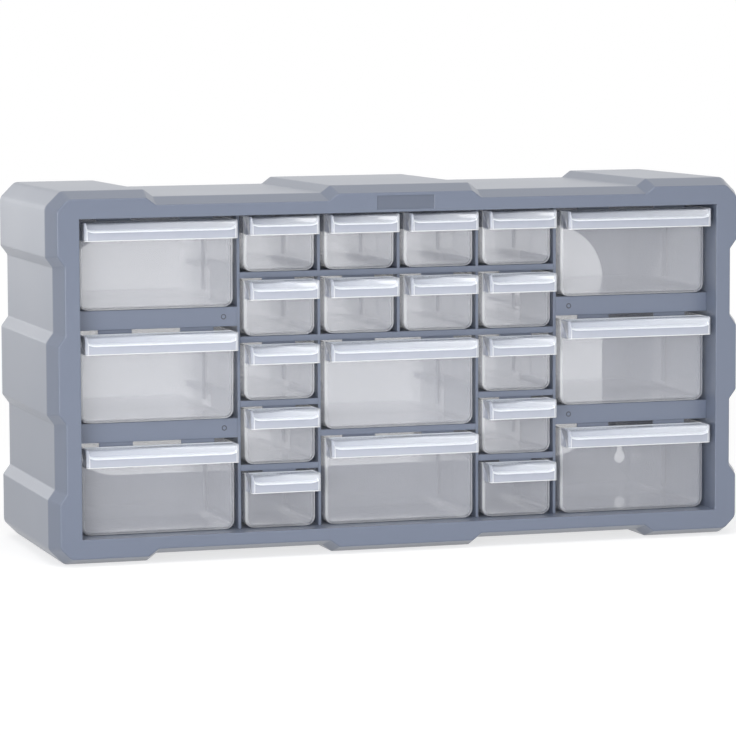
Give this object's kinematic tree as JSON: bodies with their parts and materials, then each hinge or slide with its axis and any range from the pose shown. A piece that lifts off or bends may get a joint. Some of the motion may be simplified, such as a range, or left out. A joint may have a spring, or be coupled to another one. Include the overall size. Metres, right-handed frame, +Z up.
{
  "type": "parts bin cabinet",
  "caption": "Free-standing or wall-hung cabinet with a bevelled, notched frame and translucent small and large pull-out drawers with hooded finger pulls.",
  "frame": {"origin": "on the underside, midway between the sides and midway between the face and the back", "axes": "+X to the right as seen from the front, +Y from the face to the back, +Z up"},
  "size_m": [0.49, 0.16, 0.248],
  "materials": {
    "housing": "lightly grained injection moulding",
    "drawer": "milky translucent, smooth"
  },
  "bodies": {
    "cabinet": {"front_frame": "housing", "housing_shell": "housing", "back_panel": "housing", "liner_top": "housing", "liner_floor": "housing", "liner_left": "housing", "liner_right": "housing", "upper_shelves": "housing", "lower_shelves": "housing", "centre_shelf": "housing", "side_bands": "housing", "main_partitions": "housing", "lower_partitions": "housing", "row_1_partitions": "housing", "row_2_partitions": "housing", "stop_tabs": "housing"},
    "large_drawer_left_1_body": {"large_drawer_left_1": "drawer", "divider_of_large_drawer_left_1": "drawer"},
    "large_drawer_left_2_body": {"large_drawer_left_2": "drawer", "divider_of_large_drawer_left_2": "drawer"},
    "large_drawer_left_3_body": {"large_drawer_left_3": "drawer", "divider_of_large_drawer_left_3": "drawer"},
    "large_drawer_right_1_body": {"large_drawer_right_1": "drawer", "divider_of_large_drawer_right_1": "drawer"},
    "large_drawer_right_2_body": {"large_drawer_right_2": "drawer", "divider_of_large_drawer_right_2": "drawer"},
    "large_drawer_right_3_body": {"large_drawer_right_3": "drawer", "divider_of_large_drawer_right_3": "drawer"},
    "small_drawer_row1_column1_body": {"small_drawer_row1_column1": "drawer", "divider_of_small_drawer_row1_column1": "drawer"},
    "small_drawer_row1_column2_body": {"small_drawer_row1_column2": "drawer", "divider_of_small_drawer_row1_column2": "drawer"},
    "small_drawer_row1_column3_body": {"small_drawer_row1_column3": "drawer", "divider_of_small_drawer_row1_column3": "drawer"},
    "small_drawer_row1_column4_body": {"small_drawer_row1_column4": "drawer", "divider_of_small_drawer_row1_column4": "drawer"},
    "small_drawer_row2_column1_body": {"small_drawer_row2_column1": "drawer", "divider_of_small_drawer_row2_column1": "drawer"},
    "small_drawer_row2_column2_body": {"small_drawer_row2_column2": "drawer", "divider_of_small_drawer_row2_column2": "drawer"},
    "small_drawer_row2_column3_body": {"small_drawer_row2_column3": "drawer", "divider_of_small_drawer_row2_column3": "drawer"},
    "small_drawer_row2_column4_body": {"small_drawer_row2_column4": "drawer", "divider_of_small_drawer_row2_column4": "drawer"},
    "small_drawer_row3_column1_body": {"small_drawer_row3_column1": "drawer", "divider_of_small_drawer_row3_column1": "drawer"},
    "small_drawer_row3_column4_body": {"small_drawer_row3_column4": "drawer", "divider_of_small_drawer_row3_column4": "drawer"},
    "small_drawer_row4_column1_body": {"small_drawer_row4_column1": "drawer", "divider_of_small_drawer_row4_column1": "drawer"},
    "small_drawer_row4_column4_body": {"small_drawer_row4_column4": "drawer", "divider_of_small_drawer_row4_column4": "drawer"},
    "small_drawer_row5_column1_body": {"small_drawer_row5_column1": "drawer", "divider_of_small_drawer_row5_column1": "drawer"},
    "small_drawer_row5_column4_body": {"small_drawer_row5_column4": "drawer", "divider_of_small_drawer_row5_column4": "drawer"},
    "large_drawer_centre_1_body": {"large_drawer_centre_1": "drawer", "divider_of_large_drawer_centre_1": "drawer"},
    "large_drawer_centre_2_body": {"large_drawer_centre_2": "drawer", "divider_of_large_drawer_centre_2": "drawer"}
  },
  "joints": [
    {"name": "large_drawer_left_1_slide", "type": "slide", "parent": "cabinet", "child": "large_drawer_left_1_body", "axis": [0, -1, 0], "range_m": [0, 0.1306]},
    {"name": "large_drawer_left_2_slide", "type": "slide", "parent": "cabinet", "child": "large_drawer_left_2_body", "axis": [0, -1, 0], "range_m": [0, 0.1306]},
    {"name": "large_drawer_left_3_slide", "type": "slide", "parent": "cabinet", "child": "large_drawer_left_3_body", "axis": [0, -1, 0], "range_m": [0, 0.1306]},
    {"name": "large_drawer_right_1_slide", "type": "slide", "parent": "cabinet", "child": "large_drawer_right_1_body", "axis": [0, -1, 0], "range_m": [0, 0.1306]},
    {"name": "large_drawer_right_2_slide", "type": "slide", "parent": "cabinet", "child": "large_drawer_right_2_body", "axis": [0, -1, 0], "range_m": [0, 0.1306]},
    {"name": "large_drawer_right_3_slide", "type": "slide", "parent": "cabinet", "child": "large_drawer_right_3_body", "axis": [0, -1, 0], "range_m": [0, 0.1306]},
    {"name": "small_drawer_row1_column1_slide", "type": "slide", "parent": "cabinet", "child": "small_drawer_row1_column1_body", "axis": [0, -1, 0], "range_m": [0, 0.1306]},
    {"name": "small_drawer_row1_column2_slide", "type": "slide", "parent": "cabinet", "child": "small_drawer_row1_column2_body", "axis": [0, -1, 0], "range_m": [0, 0.1306]},
    {"name": "small_drawer_row1_column3_slide", "type": "slide", "parent": "cabinet", "child": "small_drawer_row1_column3_body", "axis": [0, -1, 0], "range_m": [0, 0.1306]},
    {"name": "small_drawer_row1_column4_slide", "type": "slide", "parent": "cabinet", "child": "small_drawer_row1_column4_body", "axis": [0, -1, 0], "range_m": [0, 0.1306]},
    {"name": "small_drawer_row2_column1_slide", "type": "slide", "parent": "cabinet", "child": "small_drawer_row2_column1_body", "axis": [0, -1, 0], "range_m": [0, 0.1306]},
    {"name": "small_drawer_row2_column2_slide", "type": "slide", "parent": "cabinet", "child": "small_drawer_row2_column2_body", "axis": [0, -1, 0], "range_m": [0, 0.1306]},
    {"name": "small_drawer_row2_column3_slide", "type": "slide", "parent": "cabinet", "child": "small_drawer_row2_column3_body", "axis": [0, -1, 0], "range_m": [0, 0.1306]},
    {"name": "small_drawer_row2_column4_slide", "type": "slide", "parent": "cabinet", "child": "small_drawer_row2_column4_body", "axis": [0, -1, 0], "range_m": [0, 0.1306]},
    {"name": "small_drawer_row3_column1_slide", "type": "slide", "parent": "cabinet", "child": "small_drawer_row3_column1_body", "axis": [0, -1, 0], "range_m": [0, 0.1306]},
    {"name": "small_drawer_row3_column4_slide", "type": "slide", "parent": "cabinet", "child": "small_drawer_row3_column4_body", "axis": [0, -1, 0], "range_m": [0, 0.1306]},
    {"name": "small_drawer_row4_column1_slide", "type": "slide", "parent": "cabinet", "child": "small_drawer_row4_column1_body", "axis": [0, -1, 0], "range_m": [0, 0.1306]},
    {"name": "small_drawer_row4_column4_slide", "type": "slide", "parent": "cabinet", "child": "small_drawer_row4_column4_body", "axis": [0, -1, 0], "range_m": [0, 0.1306]},
    {"name": "small_drawer_row5_column1_slide", "type": "slide", "parent": "cabinet", "child": "small_drawer_row5_column1_body", "axis": [0, -1, 0], "range_m": [0, 0.1306]},
    {"name": "small_drawer_row5_column4_slide", "type": "slide", "parent": "cabinet", "child": "small_drawer_row5_column4_body", "axis": [0, -1, 0], "range_m": [0, 0.1306]},
    {"name": "large_drawer_centre_1_slide", "type": "slide", "parent": "cabinet", "child": "large_drawer_centre_1_body", "axis": [0, -1, 0], "range_m": [0, 0.1306]},
    {"name": "large_drawer_centre_2_slide", "type": "slide", "parent": "cabinet", "child": "large_drawer_centre_2_body", "axis": [0, -1, 0], "range_m": [0, 0.1306]}
  ]
}
